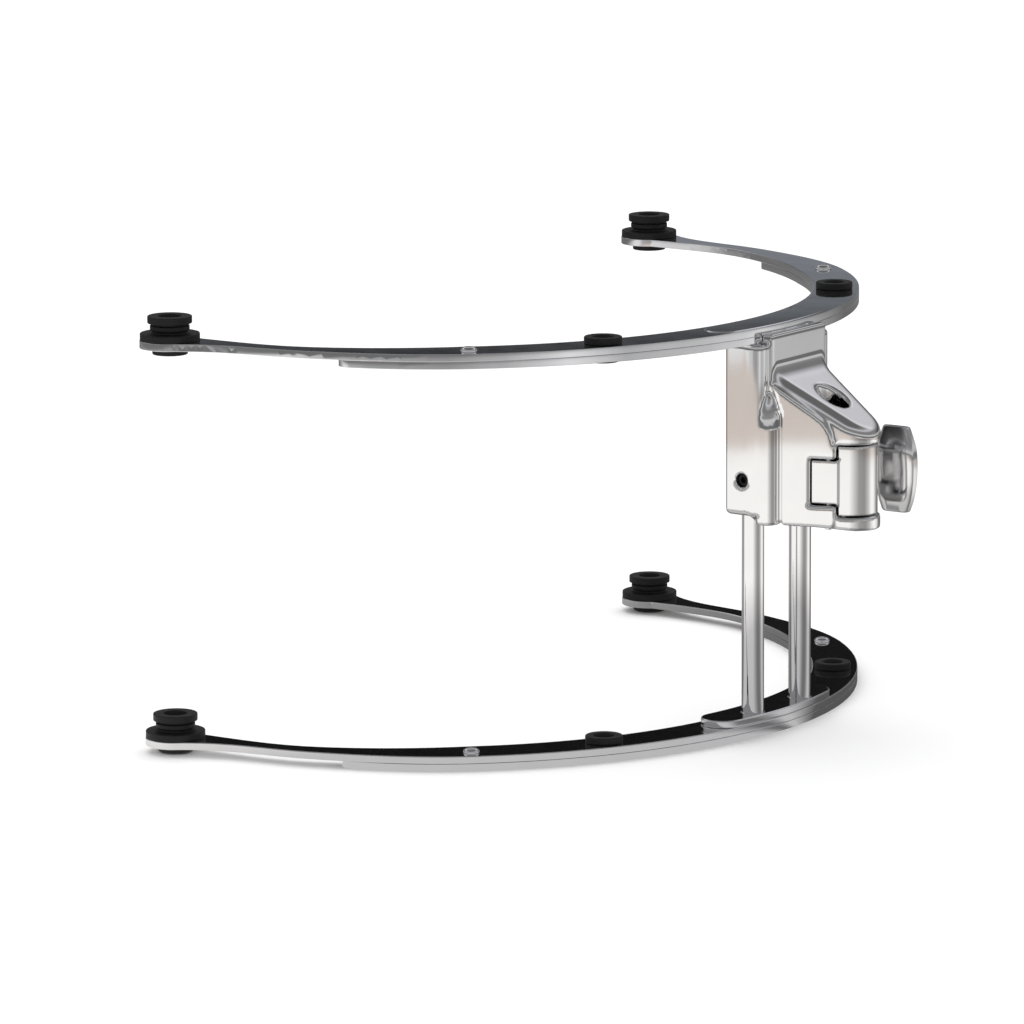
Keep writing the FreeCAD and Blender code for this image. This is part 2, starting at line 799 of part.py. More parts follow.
def bracket_body(plan):
    """The casting: housing, columns, neck, deck, nose and boss, with every hole cut."""
    boss_root = "Sizes.housing_front - 1"
    boss = clamp_line("clamp_boss", "Sizes.boss_radius", boss_root, "Sizes.boss_end")
    web = box(
        "boss_web",
        (boss_root, "Sizes.boss_end"),
        ("Sizes.nose_radius", "Sizes.clamp_offset"),
        ("Sizes.clamp_height - Sizes.boss_radius", "Sizes.clamp_height + Sizes.boss_radius"),
    )
    solid = joined("casting_blank", housing(), deck_and_neck(plan), *columns(), *shoulders(), boss, web)

    tools = [
        window("window", "0"),
        box(
            "ear_room",
            ("Sizes.ear_back - 2 * Sizes.gate_gap", "Sizes.window_back + 1"),
            ("Sizes.window_side", "Sizes.clamp_offset + 2 * Sizes.ear_radius"),
            (
                "Sizes.clamp_height - Sizes.tab_half - Sizes.gate_gap",
                "Sizes.clamp_height + Sizes.tab_half + Sizes.gate_gap",
            ),
        ),
        cylinder("receiver_bore", "Sizes.receiver_radius", "2 * Sizes.neck_top", "Sizes.receiver_reach"),
        cylinder("band_room", "Sizes.band_outer + Sizes.band_gap", "3 * Sizes.layer", z=UPPER_FLOOR),
        cylinder(
            "pin_hole",
            "Sizes.pin_radius",
            "Sizes.window_high - Sizes.nose_bottom + Sizes.pin_rise + 1",
            "Sizes.pin_reach",
            "-Sizes.pin_offset",
            "Sizes.nose_bottom - 1",
        ),
        clamp_line("bolt_hole", "Sizes.bolt_room", "Sizes.bolt_tail - 1", "Sizes.boss_end + 1"),
        nut_seat("nut_room", "0", "2 * Sizes.clamp_offset"),
    ]
    for side, (x, y) in ROD_SPOTS.items():
        height = "Sizes.rod_room_top - Sizes.nose_bottom + 1"
        tools.append(cylinder(f"rod_bore_{side}", "Sizes.rod_room", height, x, y, "Sizes.nose_bottom - 1"))
    for side, (x, y) in BRACKET_SCREW_SPOTS.items():
        floor = f"{UPPER_SEAM} - Sizes.bracket_screw_length"
        depth = "Sizes.bracket_screw_length"
        tools.append(cylinder(f"screw_hole_{side}", "Sizes.screw_shank", depth, x, y, floor))
    for side, start in (("left", "-Sizes.housing_half - 1"), ("right", "Sizes.rod_offset")):
        hole = cylinder(
            f"set_hole_{side}",
            "Sizes.set_screw_room",
            "Sizes.housing_half - Sizes.rod_offset + 1",
            "Sizes.set_screw_reach",
            start,
            "Sizes.set_screw_height",
        )
        tools.append(crosswise(hole))

    def deck_rim(edge):
        reach = edge.BoundBox
        front = size("neck_front")
        beyond_neck = reach.XMin > front - 0.1 and reach.XMax > front + size("layer")
        above_window = reach.ZMin > size("window_high") + 1
        below_neck = reach.ZMax < size("neck_top") - size("neck_sweep")
        sloping = reach.ZLength > 1 and not is_upright(edge)
        return beyond_neck and above_window and below_neck and sloping and not edge.isClosed()

    return rounded("bracket_body", cut("casting", solid, *tools), "deck_round", deck_rim)


def receiver_gate(plan):
    """Hinged gate: round barrel, hinge tab and the ear that the wing bolt draws in."""
    barrel = cylinder("gate_round", "Sizes.gate_radius", "Sizes.neck_top", "Sizes.nose_reach")
    tab_stock = box(
        "tab_stock",
        ("Sizes.tab_back", "Sizes.lug_end + 1"),
        ("-2 * Sizes.nose_radius", "0"),
        ("Sizes.clamp_height - Sizes.tab_half", "Sizes.clamp_height + Sizes.tab_half"),
    )
    tab = shared("tab_flush", tab_stock, plan)
    stock = shared("gate_stock", joined("gate_whole", barrel, tab), window("envelope", "Sizes.gate_gap"))
    tab_low = "Sizes.clamp_height - Sizes.tab_half + Sizes.gate_gap"
    tab_high = "Sizes.clamp_height + Sizes.tab_half - Sizes.gate_gap"
    root = box(
        "ear_root",
        ("Sizes.ear_back", "Sizes.ear_root_front"),
        ("Sizes.window_side + Sizes.gate_gap", "Sizes.ear_root_side"),
        (tab_low, tab_high),
    )
    arm = box(
        "ear_arm",
        ("Sizes.ear_back", "Sizes.ear_front"),
        ("Sizes.window_side + Sizes.gate_gap", "Sizes.clamp_offset"),
        (tab_low, tab_high),
    )
    end = clamp_line("ear_end", "Sizes.ear_radius", "Sizes.ear_back", "Sizes.ear_front")
    slot = box(
        "ear_slot",
        ("Sizes.ear_back - 1", "Sizes.ear_front + 1"),
        ("Sizes.clamp_offset - Sizes.ear_slot_length / 2", "Sizes.clamp_offset + Sizes.ear_slot_length / 2"),
        ("Sizes.clamp_height - Sizes.ear_slot_half", "Sizes.clamp_height + Sizes.ear_slot_half"),
    )
    bore = cylinder("gate_bore", "Sizes.receiver_radius", "Sizes.neck_top", "Sizes.receiver_reach")
    pivot_radius = "Sizes.pin_radius + Sizes.pin_fit"
    pivot = cylinder("gate_pivot", pivot_radius, "Sizes.neck_top", "Sizes.pin_reach", "-Sizes.pin_offset")
    return cut("receiver_gate", joined("gate_blank", stock, root, arm, end), slot, bore, pivot)


def hinge_pin():
    """Straight pin through the casting's two lugs and the gate's tab."""
    return cylinder(
        "hinge_pin",
        "Sizes.pin_radius",
        "Sizes.window_high + Sizes.pin_rise - Sizes.nose_bottom - Sizes.pin_recess",
        "Sizes.pin_reach",
        "-Sizes.pin_offset",
        "Sizes.nose_bottom + Sizes.pin_recess",
    )


def wing_bolt():
    """Bolt with a flat barrel-shaped paddle to turn it by hand."""
    washer_end = "Sizes.ear_front + Sizes.washer_thickness"
    shank = clamp_line("bolt_shank", "Sizes.bolt_radius", "Sizes.bolt_tail", "Sizes.paddle_inner + 1")
    hub = clamp_line("bolt_hub", "Sizes.hub_radius", washer_end, f"{washer_end} + Sizes.hub_length")
    body = new_body("paddle")
    sketch = new_sketch(body, "paddle_outline", "XZ_Plane", "-Sizes.clamp_offset")
    top = size("clamp_height") + size("paddle_half")
    bottom = size("clamp_height") - size("paddle_half")
    middle = (size("paddle_inner") + size("paddle_outer")) / 2
    half_flat = size("paddle_flat") / 2
    signs = ((-1, bottom), (1, bottom), (1, top), (-1, top))
    corners = [FreeCAD.Vector(middle + half_flat * sign, z, 0) for sign, z in signs]
    outer_side = FreeCAD.Vector(size("paddle_outer"), size("clamp_height"), 0)
    inner_side = FreeCAD.Vector(size("paddle_inner"), size("clamp_height"), 0)
    add_chain(
        sketch,
        [
            Part.LineSegment(corners[0], corners[1]),
            Part.Arc(corners[1], outer_side, corners[2]),
            Part.LineSegment(corners[2], corners[3]),
            Part.Arc(corners[3], inner_side, corners[0]),
        ],
    )
    pad(body, sketch, "Sizes.paddle_thickness", both_ways=True)
    return joined("wing_bolt", shank, hub, body)


def thrust_washer():
    """Plain washer between the ear and the wing bolt's hub."""
    end = "Sizes.ear_front + Sizes.washer_thickness"
    disc = clamp_line("washer_disc", "Sizes.washer_radius", "Sizes.ear_front", end)
    fit = "Sizes.bolt_radius + Sizes.bolt_fit"
    hole = clamp_line("washer_hole", fit, "Sizes.ear_front - 1", f"{end} + 1")
    return cut("thrust_washer", disc, hole)


def clamp_nut():
    """Square steel nut caught in the boss, which the wing bolt screws into."""
    block = nut_seat("nut_block", "0", None)
    thread_end = "Sizes.nut_back + Sizes.nut_thickness + 1"
    thread = clamp_line("nut_thread", "Sizes.bolt_radius + Sizes.bolt_fit", "Sizes.nut_back - 1", thread_end)
    return cut("clamp_nut", block, thread)


# ---- assembly ----


def build_all():
    """Every sub-part, in the order in which the cradle goes together."""
    plan = plan_of_nose()
    parts = [bracket_body(plan), receiver_gate(plan), hinge_pin()]
    parts += [wing_bolt(), thrust_washer(), clamp_nut()]
    parts.append(arc_stiffener("upper_stiffener", UPPER_FLOOR, (BRACKET_SCREW_SPOTS, "Sizes.screw_shank")))
    upper_band = arc_band("upper_band", UPPER_SEAM, (BRACKET_SCREW_SPOTS, "Sizes.screw_head_room"))
    sink_cap_plate(upper_band)
    parts += [upper_band, cap_plate(), layer_screws("upper_layer_screws", UPPER_FACE)]
    down = "Sizes.bracket_screw_length"
    parts.append(head_screws("bracket_screws", BRACKET_SCREW_SPOTS, UPPER_SEAM, down, upwards=False))
    parts.append(arc_stiffener("lower_stiffener", "0", (ROD_SPOTS, "Sizes.screw_head_room")))
    parts.append(arc_band("lower_band", LOWER_SEAM, (ROD_SPOTS, "Sizes.screw_shank")))
    parts += [foot_plate(), layer_screws("lower_layer_screws", LOWER_FACE)]
    parts.append(head_screws("rod_screws", ROD_SPOTS, LOWER_SEAM, "Sizes.rod_screw_length", upwards=True))
    nubs = {"upper": "Sizes.upper_nub_length", "lower": "Sizes.lower_nub_length"}
    faces = {"upper": UPPER_FACE, "lower": LOWER_FACE}
    for side in SIDES:
        parts += [rod(side), set_screw(side)]
        for level, face in faces.items():
            parts.append(end_grommet(f"{level}_end_grommet_{side}", EYE_SPOTS[side], face))
            name = f"{level}_middle_grommet_{side}"
            parts.append(middle_grommet(name, MIDDLE_SPOTS[side], face, nubs[level]))
    return parts


def centre(parts):
    """Move each sub-part so that the origin lies under the middle of the whole cradle."""
    middle = "(Sizes.paddle_outer - Sizes.eye_radius) / 2"
    for part in parts:
        tied = {path.lstrip("."): text for path, text in part.ExpressionEngine}
        own = tied.get("Placement.Base.x", "0")
        bind(part, Placement__Base__x=f"{own} - {middle}")


def check(parts):
    """Stop at any failed object or bad shape."""
    for item in doc.Objects:
        if "Invalid" in item.State or "Error" in item.State:
            raise SystemExit(f"{item.Name} failed: {item.State}")
    for part in parts:
        if part.Shape.isNull() or not part.Shape.isValid():
            raise SystemExit(f"{part.Label} has a bad shape")


def export(parts):
    os.makedirs("parts", exist_ok=True)
    for part in parts:
        part.Shape.exportStep(os.path.join("parts", f"{part.Label}.step"))
        print(part.Label, len(part.Shape.Solids), round(part.Shape.Volume))


all_parts = build_all()
doc.recompute()
centre(all_parts)
doc.recompute()
check(all_parts)
export(all_parts)
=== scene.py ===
import json
import math

import bpy
from mathutils import Matrix, Vector

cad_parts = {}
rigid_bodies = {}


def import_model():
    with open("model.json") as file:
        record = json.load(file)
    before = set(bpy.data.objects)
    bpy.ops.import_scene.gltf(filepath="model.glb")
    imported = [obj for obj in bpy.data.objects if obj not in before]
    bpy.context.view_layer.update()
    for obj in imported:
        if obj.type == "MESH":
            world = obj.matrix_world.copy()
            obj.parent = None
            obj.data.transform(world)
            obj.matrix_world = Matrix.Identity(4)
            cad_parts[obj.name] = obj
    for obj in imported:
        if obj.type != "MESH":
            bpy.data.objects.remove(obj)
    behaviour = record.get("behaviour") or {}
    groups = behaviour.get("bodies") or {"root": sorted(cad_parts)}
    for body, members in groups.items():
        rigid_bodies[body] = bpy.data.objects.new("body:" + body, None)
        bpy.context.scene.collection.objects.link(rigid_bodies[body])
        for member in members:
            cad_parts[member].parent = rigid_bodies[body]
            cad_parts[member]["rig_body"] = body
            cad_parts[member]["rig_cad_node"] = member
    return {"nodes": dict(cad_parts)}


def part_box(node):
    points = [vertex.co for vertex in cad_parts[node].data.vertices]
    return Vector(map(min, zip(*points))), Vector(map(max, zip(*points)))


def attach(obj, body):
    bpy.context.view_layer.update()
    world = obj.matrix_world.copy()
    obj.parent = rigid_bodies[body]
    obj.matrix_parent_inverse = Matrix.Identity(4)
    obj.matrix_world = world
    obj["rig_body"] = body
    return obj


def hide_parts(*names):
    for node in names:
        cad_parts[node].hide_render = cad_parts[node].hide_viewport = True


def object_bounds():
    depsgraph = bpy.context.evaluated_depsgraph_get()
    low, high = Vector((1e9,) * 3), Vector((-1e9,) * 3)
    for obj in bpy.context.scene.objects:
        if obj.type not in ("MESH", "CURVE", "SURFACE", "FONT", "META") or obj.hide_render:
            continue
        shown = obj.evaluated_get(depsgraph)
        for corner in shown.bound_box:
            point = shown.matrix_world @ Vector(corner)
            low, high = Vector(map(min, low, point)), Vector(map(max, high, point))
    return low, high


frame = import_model()
cad_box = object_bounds()
nodes = frame["nodes"]
mm = 0.001

# ---- Arcs: each is a C-shaped band with slim arms and end eyes on a shorter stiffener of the same plate.
# Both are cut from 3 mm steel, their edges rolled over on a belt, then polished and chromed.


class Level:
    """A shader value that takes Python arithmetic; each operation adds its Math node."""

    def __init__(self, finish, socket):
        self.finish = finish
        self.socket = socket

    def math(self, operation, first, second=0.0):
        return self.finish.add("ShaderNodeMath", {"operation": operation}, {0: first, 1: second})

    def __add__(self, other):
        return self.math("ADD", self, other)

    def __sub__(self, other):
        return self.math("SUBTRACT", self, other)

    def __rsub__(self, other):
        return self.math("SUBTRACT", other, self)

    def __mul__(self, other):
        return self.math("MULTIPLY", self, other)

    def __truediv__(self, other):
        return self.math("DIVIDE", self, other)

    __radd__ = __add__
    __rmul__ = __mul__


class NodeTree:
    """A tree of shader nodes, with one way to add any node to it."""

    def __init__(self, tree):
        self.tree = tree

    def add(self, kind, settings=None, inputs=None, output=0, stops=None):
        node = self.tree.nodes.new(kind)
        for name, setting in (settings or {}).items():
            setattr(node, name, setting)
        if stops:
            ramp = node.color_ramp
            while len(ramp.elements) < len(stops):
                ramp.elements.new(0.5)
            for element, (position, colour) in zip(ramp.elements, stops):
                element.position = position
                element.color = (*colour, 1)
        for name, source in (inputs or {}).items():
            self.feed(node.inputs[name], source)
        return Level(self, node.outputs[output])

    def feed(self, socket, source):
        if isinstance(source, Level):
            self.tree.links.new(source.socket, socket)
        else:
            socket.default_value = source

    def noise(self, place, scale, detail=3.0):
        return self.add("ShaderNodeTexNoise", {}, {"Vector": place, "Scale": scale, "Detail": detail})

    def blend(self, factor, first, second):
        return self.add("ShaderNodeMix", {"data_type": "RGBA"}, {"Factor": factor, 6: first, 7: second}, 2)


class Finish(NodeTree):
    """A material, with its shader and its object coordinates at hand."""

    def __init__(self, name):
        self.material = bpy.data.materials.new(name)
        self.material.use_nodes = True
        super().__init__(self.material.node_tree)
        self.shader = self.tree.nodes["Principled BSDF"]
        self.place = self.add("ShaderNodeTexCoord", output="Object")

    def set(self, **inputs):
        for name, source in inputs.items():
            self.feed(self.shader.inputs[name.replace("_", " ")], source)

    def bump(self, height, strength, distance):
        return self.add(
            "ShaderNodeBump", {}, {"Height": height, "Strength": strength, "Distance": distance}
        )


def chrome_plate(name, bright, dull, haze, ripple):
    """Nickel-chrome: a faint cloudiness in the polish, and a slow ripple left by the buffing wheel."""
    finish = Finish(name)
    cloud = finish.noise(finish.place, 90.0)
    wave = finish.noise(finish.place, 45.0, 1.0)
    finish.set(
        Base_Color=finish.blend(cloud, bright, dull),
        Metallic=1.0,
        Roughness=cloud * haze + 0.03,
        Normal=finish.bump(wave, ripple, 0.5 * mm),
    )
    return finish.material


steel_chrome = chrome_plate("chrome on steel", (0.86, 0.86, 0.87, 1), (0.80, 0.80, 0.82, 1), 0.04, 0.012)


def only(piece):
    """Make one piece the whole selection, and active."""
    bpy.ops.object.select_all(action="DESELECT")
    piece.select_set(True)
    bpy.context.view_layer.objects.active = piece


def apply_all(piece):
    only(piece)
    for modifier in list(piece.modifiers):
        bpy.ops.object.modifier_apply(modifier=modifier.name)


def flatten_shading(piece):
    """Shade smooth, but let each flat face keep its own normal up to the edge's round."""
    only(piece)
    bpy.ops.object.shade_smooth_by_angle(angle=math.radians(35))
    flats = piece.modifiers.new("flats", "WEIGHTED_NORMAL")
    flats.keep_sharp = True
    flats.weight = 100
    apply_all(piece)


def break_edges(piece, radius, segments):
    """Round every crease by a small radius."""
    bevel = piece.modifiers.new("edges", "BEVEL")
    bevel.width = radius
    bevel.segments = segments
    bevel.limit_method = "ANGLE"
    bevel.angle_limit = math.radians(32)
    apply_all(piece)
    flatten_shading(piece)


def blank(node, name):
    """A copy of a CAD piece's own mesh, welded, to be worked on."""
    piece = nodes[node].copy()
    piece.data = nodes[node].data.copy()
    piece.name = name
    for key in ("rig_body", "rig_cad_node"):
        del piece[key]
    piece.parent = None
    bpy.context.scene.collection.objects.link(piece)
    only(piece)
    bpy.ops.object.mode_set(mode="EDIT")
    bpy.ops.mesh.select_all(action="SELECT")
    bpy.ops.mesh.remove_doubles(threshold=0.004 * mm)
    bpy.ops.mesh.customdata_custom_splitnormals_clear()
    bpy.ops.object.mode_set(mode="OBJECT")
    return piece


def machined(node, name, radius, segments=3):
    """A plain machined piece: its flats made whole again and its edges broken."""
    piece = blank(node, name)
    bpy.ops.object.mode_set(mode="EDIT")
    bpy.ops.mesh.select_all(action="SELECT")
    bpy.ops.mesh.dissolve_limited(angle_limit=math.radians(0.5))
    bpy.ops.object.mode_set(mode="OBJECT")
    break_edges(piece, radius, segments)
    return piece


def dress(piece, material, body, slot, *replaced):
    """Give a piece its finish and its body, and hide the CAD nodes that it stands for."""
    piece.data.materials.clear()
    piece.data.materials.append(material)
    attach(piece, body)
    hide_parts(*replaced)


for level in ("upper", "lower"):
    for layer in ("band", "stiffener"):
        node = f"{level}_{layer}"
        piece = machined(node, f"{node}_plate", 0.65 * mm, 4)
        dress(piece, steel_chrome, f"{level}_cradle", "chrome_steel", node)

# ---- Cap plate and foot plate: curved ovals of the same plate. The cap hides the bracket's screws in the
# upper band, and the foot plate holds the feet of both rods on the lower band.

for node, body in (("upper_cap_plate", "upper_cradle"), ("foot_plate", "lower_cradle")):
    dress(machined(node, f"{node}_oval", 0.6 * mm, 4), steel_chrome, body, "chrome_steel", node)

# ---- Rods and small steel: two drawn rods, the hinge pin, the washer and the nut, all plated.
# The rods' ends are chamfered to enter their bores.

for node, body, radius in (
    ("rod_left", "lower_cradle", 0.5 * mm),
    ("rod_right", "lower_cradle", 0.5 * mm),
    ("hinge_pin", "upper_cradle", 0.2 * mm),
    ("thrust_washer", "washer", 0.15 * mm),
    ("clamp_nut", "upper_cradle", 0.3 * mm),
):
    dress(machined(node, f"{node}_plated", radius), steel_chrome, body, "chrome_steel", node)

# ---- Layer screws: stainless button heads with a socket, two on each arc, pulling band and stiffener
# together. The shank stays hidden in the plates.


def turned(name, spot, rings, vertices=48):
    """A turned piece: rings of (radius, height) from the bottom up, drawn out of one circle."""
    bpy.ops.object.select_all(action="DESELECT")
    first_radius, first_height = rings[0]
    place = spot + Vector((0, 0, first_height))
    bpy.ops.mesh.primitive_circle_add(
        vertices=vertices, radius=first_radius, fill_type="NGON", location=place
    )
    piece = bpy.context.object
    piece.name = name
    bpy.ops.object.mode_set(mode="EDIT")
    bpy.ops.mesh.select_all(action="SELECT")
    radius, height = first_radius, first_height
    for next_radius, next_height in rings[1:]:
        lift = (0, 0, next_height - height)
        bpy.ops.mesh.extrude_region_move(TRANSFORM_OT_translate={"value": lift})
        grow = next_radius / radius
        bpy.ops.transform.resize(value=(grow, grow, 1), center_override=spot + Vector((0, 0, next_height)))
        radius, height = next_radius, next_height
    bpy.ops.mesh.select_all(action="SELECT")
    bpy.ops.mesh.normals_make_consistent(inside=False)
    bpy.ops.object.mode_set(mode="OBJECT")
    bpy.ops.object.transform_apply(location=True, rotation=True, scale=True)
    return piece


def joined(name, *pieces):
    """Several meshes as one piece."""
    bpy.ops.object.select_all(action="DESELECT")
    for piece in pieces:
        piece.select_set(True)
    bpy.context.view_layer.objects.active = pieces[0]
    bpy.ops.object.join()
    pieces[0].name = name
    return pieces[0]


button = (
    (1.6, -6.0), (1.6, 0.0), (3.25, 0.0), (3.25, 0.35), (3.05, 0.85), (2.65, 1.25), (2.1, 1.55),
    (1.5, 1.7), (1.2, 1.68), (1.15, 1.6), (1.1, 0.7),
)
for level in ("upper", "lower"):
    low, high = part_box(f"{level}_layer_screws")
    face = high[2] - 1.7 * mm
    pair = []
    for side in (-1, 1):
        spot = Vector((high[0] - 3.25 * mm, side * (high[1] - 3.25 * mm), face))
        rings = [(radius * mm, height * mm) for radius, height in button]
        pair.append(turned(f"{level}_button_{side}", spot, rings))
    screws = joined(f"{level}_button_screws", *pair)
    flatten_shading(screws)
    dress(screws, steel_chrome, f"{level}_cradle", "chrome_steel", f"{level}_layer_screws")

# ---- Black screws: cheese heads under the bands, and the socket set screws that lock the rods.
# All are hardened steel with a black oxide finish.

black_oxide = Finish("black oxide")
black_oxide.set(
    Base_Color=(0.03, 0.03, 0.032, 1),
    Metallic=1.0,
    Roughness=black_oxide.noise(black_oxide.place, 400.0) * 0.2 + 0.3,
)
for node, body in (
    ("bracket_screws", "upper_cradle"),
    ("rod_screws", "lower_cradle"),
    ("set_screw_left", "set_screw_left"),
    ("set_screw_right", "set_screw_right"),
):
    dress(machined(node, f"{node}_black", 0.12 * mm, 2), black_oxide.material, body, "dark_steel", node)

# ---- Grommets: moulded black rubber with softened rims. The tall ones stand in the eyes, the low ones sit
# on the wide part of the band; each has a flared mouth for a tension rod.

rubber = Finish("black rubber")
bloom = rubber.noise(rubber.place, 260.0, 4.0)
grain = rubber.noise(rubber.place, 2200.0, 2.0)
rubber.set(
    Base_Color=rubber.blend(bloom, (0.004, 0.004, 0.0045, 1), (0.010, 0.010, 0.011, 1)),
    Roughness=bloom * 0.2 + 0.42,
    Normal=rubber.bump(grain, 0.15, 0.05 * mm),
)
rubber.set(Specular_IOR_Level=0.35)
for level in ("upper", "lower"):
    for kind in ("end", "middle"):
        for side in ("left", "right"):
            node = f"{level}_{kind}_grommet_{side}"
            piece = machined(node, f"{node}_rubber", 0.6 * mm, 4)
            dress(piece, rubber.material, f"{level}_cradle", "black_rubber", node)

# ---- Bracket: a zinc casting, polished and chromed. The housing and its round uprights take the rods, the
# neck carries the upper arc, and the deck slopes down over the receiver's bore beside a cheek.

cast_chrome = chrome_plate(
    "chrome on casting", (0.86, 0.86, 0.86, 1), (0.80, 0.80, 0.81, 1), 0.05, 0.06
)
eye_radius = 12.0 * mm
drum_axis_x = cad_box[0][0] + eye_radius


def from_axis(x, y, z):
    """A place given in millimetres from the drum's axis and the table."""
    return Vector((drum_axis_x + x * mm, y * mm, z * mm))


def one_skin(piece, voxel):
    """Make a piece's overlapping parts one closed skin."""
    skin = piece.modifiers.new("skin", "REMESH")
    skin.mode = "VOXEL"
    skin.voxel_size = voxel
    apply_all(piece)


def cast(piece, voxel, passes):
    """Melt a piece's parts into one skin whose creases run together like a casting's."""
    one_skin(piece, voxel)
    melt = piece.modifiers.new("melt", "SMOOTH")
    melt.factor = 0.5
    melt.iterations = passes
    apply_all(piece)
    bpy.ops.object.shade_smooth()
    return piece


cheek_lean = math.radians(17.3)
nose_reach, nose_radius = 208.0, 12.0


def cheek(side, proud, thickness):
    """A wall along the deck's side: notched for the gate's tab, its front end rounded down to the gate."""
    outline = (
        (188.2, 86.4), (208.0, 86.4), (208.6, 90.0), (208.6, 95.0), (198.2, 95.0), (198.2, 114.2),
        (208.6, 114.2), (208.6, 118.6), (208.0, 120.8), (207.2, 123.4), (206.0, 126.4), (204.2, 129.2),
        (200.5, 132.0), (184.2, 143.2), (188.2, 130.0),
    )
    bpy.ops.object.select_all(action="DESELECT")
    bpy.ops.mesh.primitive_circle_add(vertices=len(outline), radius=mm, fill_type="NGON")
    wall = bpy.context.object
    for vertex, (x, z) in zip(wall.data.vertices, outline):
        y = nose_radius / math.cos(cheek_lean) - (x - nose_reach) * math.tan(cheek_lean) + proud
        vertex.co = from_axis(x, side * y, z)
    bpy.ops.object.mode_set(mode="EDIT")
    bpy.ops.mesh.select_all(action="SELECT")
    bpy.ops.mesh.extrude_region_move(TRANSFORM_OT_translate={"value": (0, -side * thickness, 0)})
    bpy.ops.mesh.select_all(action="SELECT")
    bpy.ops.mesh.normals_make_consistent(inside=False)
    bpy.ops.object.mode_set(mode="OBJECT")
    return wall


def upright(x, y, rings):
    """A round upright of the casting, as rings of (radius, height above the table)."""
    return turned("upright", from_axis(x, y, 0), [(radius * mm, z * mm) for radius, z in rings])


def cut_away(piece, tool):
    """Take one piece out of another, and throw the tool away."""
    cut = piece.modifiers.new("cut", "BOOLEAN")
    cut.object = tool
    cut.solver = "EXACT"
    apply_all(piece)
    bpy.data.objects.remove(tool)


def set_screw_drill(side):
    """The drill of a set screw's hole, lying across the bracket."""
    drill = upright(0.0, 0.0, [(2.75, 0.0), (2.75, 8.0)])
    drill.data.transform(
        Matrix.Translation(from_axis(173.8, side * 21.0, 104.3))
        @ Matrix.Rotation(math.radians(-90 * side), 4, "X")
        @ Matrix.Translation(-from_axis(0, 0, 0))
    )
    return drill


dome = [(4.9, 86.6), (4.9, 126.0), (4.6, 129.5), (4.0, 132.5), (3.1, 135.0), (1.8, 137.3), (0.4, 138.6)]
column = [(4.2, 90.6), (4.2, 158.8)]
rod_bore = [(4.85, 80.0), (4.85, 156.6)]
parts = [blank("bracket_body", "bracket_blank"), cheek(-1, 1.0, 1.6 * mm)]
for side in (-1, 1):
    parts.append(upright(182.0, side * 20.4, dome))
    parts.append(upright(178.2, side * 22.5, column))
casting = joined("bracket_casting", *parts)
one_skin(casting, 0.5 * mm)
for side in (-1, 1):
    cut_away(casting, upright(173.5, side * 17.5, rod_bore))
    cut_away(casting, set_screw_drill(side))
cast(casting, 0.54 * mm, 9)
dress(casting, cast_chrome, "upper_cradle", "chrome_casting", "bracket_body")

# ---- Gate: a casting, the hinged front half of the receiver, round outside, with a tab for the pin on one
# side and an ear for the wing bolt on the other. It is polished and chromed with the bracket.

gate = cast(blank("receiver_gate", "gate_casting"), 0.35 * mm, 4)
dress(gate, cast_chrome, "gate", "chrome_casting", "receiver_gate")

# ---- Wing bolt: shank and hub turned in one, with a barrel-shaped paddle cast on and chromed. The paddle
# is flat across its middle, thin at its sides and leans back over its top third.

bolt_low, bolt_high = (Vector(corner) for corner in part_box("wing_bolt"))
paddle_half_width = 9.0 * mm
middle = (bolt_low + bolt_high) / 2
spot = Vector((bolt_high.x - paddle_half_width, middle.y, middle.z))
sections = (
    (-17.35, 5.5, 1.9), (-16.6, 6.1, 2.3), (-13.0, 7.4, 2.7), (-9.0, 8.3, 2.95), (-4.5, 8.85, 3.15),
    (0.0, 9.0, 3.3), (3.5, 8.95, 3.4), (6.2, 8.75, 3.45), (7.8, 8.5, 3.38), (9.4, 8.25, 3.15),
    (10.8, 7.95, 2.8), (13.5, 7.2, 2.1), (16.2, 6.3, 1.45), (17.35, 5.7, 1.2),
)
height, half_width, half_thick = sections[0]
bpy.ops.object.select_all(action="DESELECT")
bpy.ops.mesh.primitive_plane_add(size=2 * mm, location=spot + Vector((0, 0, height * mm)))
paddle = bpy.context.object
bpy.ops.object.mode_set(mode="EDIT")
bpy.ops.mesh.select_all(action="SELECT")
bpy.ops.mesh.bevel(affect="VERTICES", offset=0.62 * mm, segments=10)
bpy.ops.mesh.select_all(action="SELECT")
bpy.ops.transform.resize(value=(half_width, half_thick, 1))
for next_height, next_width, next_thick in sections[1:]:
    bpy.ops.mesh.extrude_region_move(
        TRANSFORM_OT_translate={"value": (0, 0, (next_height - height) * mm)}
    )
    bpy.ops.transform.resize(
        value=(next_width / half_width, next_thick / half_thick, 1),
        center_override=spot + Vector((0, 0, next_height * mm)),
    )
    height, half_width, half_thick = next_height, next_width, next_thick
bpy.ops.mesh.select_all(action="SELECT")
bpy.ops.mesh.normals_make_consistent(inside=False)
bpy.ops.object.mode_set(mode="OBJECT")
bpy.ops.object.transform_apply(location=True, rotation=True, scale=True)
break_edges(paddle, 0.6 * mm, 4)
hub_rings = ((3.0, 0.0), (3.0, 18.6), (3.6, 18.6), (3.6, 23.0), (4.4, 25.0))
hub = turned("wing_hub", Vector((0, 0, 0)), [(radius * mm, reach * mm) for radius, reach in hub_rings])
hub.rotation_euler = (0, math.radians(90), 0)
hub.location = (bolt_low.x, middle.y, middle.z)
only(hub)
bpy.ops.object.transform_apply(location=True, rotation=True, scale=True)
flatten_shading(hub)
wing = joined("wing_casting", paddle, hub)
wing_chrome = chrome_plate(
    "chrome on wing", (0.86, 0.86, 0.86, 1), (0.80, 0.80, 0.81, 1), 0.22, 0.05
)
dress(wing, wing_chrome, "wing", "chrome_casting", "wing_bolt")

